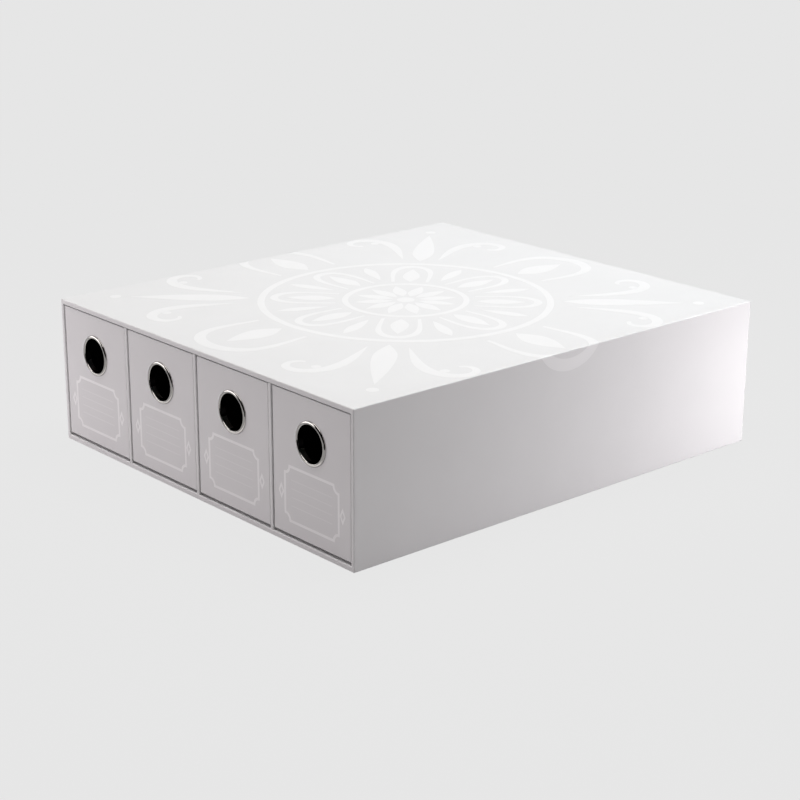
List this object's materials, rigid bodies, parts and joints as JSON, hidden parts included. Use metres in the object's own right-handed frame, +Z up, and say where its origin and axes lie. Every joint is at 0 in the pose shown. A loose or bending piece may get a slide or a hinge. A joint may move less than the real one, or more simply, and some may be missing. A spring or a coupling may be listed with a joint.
{
  "type": "trading card drawer box",
  "caption": "Paper-wrapped board casing with side-by-side pull-out drawers for trading cards, each lined in black and pulled by a chrome finger ring.",
  "frame": {"origin": "centre of the footprint, on the surface the box stands on", "axes": "+Z up, the drawers face -Y, +X to the right seen from the front"},
  "size_m": [0.338, 0.3846, 0.11],
  "materials": {
    "casing_paper": "satin",
    "drawer_paper": "satin",
    "inner_paper": "matte",
    "black_paper": "matte",
    "greyboard": "matte",
    "chrome": "polished"
  },
  "bodies": {
    "casing": {"casing_top_board": "greyboard", "casing_base_board": "greyboard", "casing_left_board": "greyboard", "casing_right_board": "greyboard", "casing_back_board": "greyboard", "casing_wrap": "casing_paper", "base_sheet": "inner_paper", "back_sheet": "inner_paper", "ceiling_lining": "inner_paper", "left_lining": "inner_paper", "right_lining": "inner_paper", "back_lining": "inner_paper", "divider_1": "greyboard", "divider_2": "greyboard", "divider_3": "greyboard", "divider_cover_1": "casing_paper", "divider_cover_2": "casing_paper", "divider_cover_3": "casing_paper", "bay_floor_1": "inner_paper", "bay_floor_2": "inner_paper", "bay_floor_3": "inner_paper", "bay_floor_4": "inner_paper"},
    "drawer_1": {"drawer_1_front_board": "greyboard", "drawer_1_back_board": "greyboard", "drawer_1_left_board": "greyboard", "drawer_1_right_board": "greyboard", "drawer_1_base_board": "greyboard", "drawer_1_wrap": "drawer_paper", "drawer_1_lining": "black_paper", "drawer_1_finger_ring": "chrome", "drawer_1_ring_washer": "chrome"},
    "drawer_2": {"drawer_2_front_board": "greyboard", "drawer_2_back_board": "greyboard", "drawer_2_left_board": "greyboard", "drawer_2_right_board": "greyboard", "drawer_2_base_board": "greyboard", "drawer_2_wrap": "drawer_paper", "drawer_2_lining": "black_paper", "drawer_2_finger_ring": "chrome", "drawer_2_ring_washer": "chrome"},
    "drawer_3": {"drawer_3_front_board": "greyboard", "drawer_3_back_board": "greyboard", "drawer_3_left_board": "greyboard", "drawer_3_right_board": "greyboard", "drawer_3_base_board": "greyboard", "drawer_3_wrap": "drawer_paper", "drawer_3_lining": "black_paper", "drawer_3_finger_ring": "chrome", "drawer_3_ring_washer": "chrome"},
    "drawer_4": {"drawer_4_front_board": "greyboard", "drawer_4_back_board": "greyboard", "drawer_4_left_board": "greyboard", "drawer_4_right_board": "greyboard", "drawer_4_base_board": "greyboard", "drawer_4_wrap": "drawer_paper", "drawer_4_lining": "black_paper", "drawer_4_finger_ring": "chrome", "drawer_4_ring_washer": "chrome"}
  },
  "joints": [
    {"name": "drawer_1_slide", "type": "slide", "parent": "casing", "child": "drawer_1", "axis": [0, -1, 0], "range_m": [0, 0.38]},
    {"name": "drawer_2_slide", "type": "slide", "parent": "casing", "child": "drawer_2", "axis": [0, -1, 0], "range_m": [0, 0.38]},
    {"name": "drawer_3_slide", "type": "slide", "parent": "casing", "child": "drawer_3", "axis": [0, -1, 0], "range_m": [0, 0.38]},
    {"name": "drawer_4_slide", "type": "slide", "parent": "casing", "child": "drawer_4", "axis": [0, -1, 0], "range_m": [0, 0.38]}
  ]
}
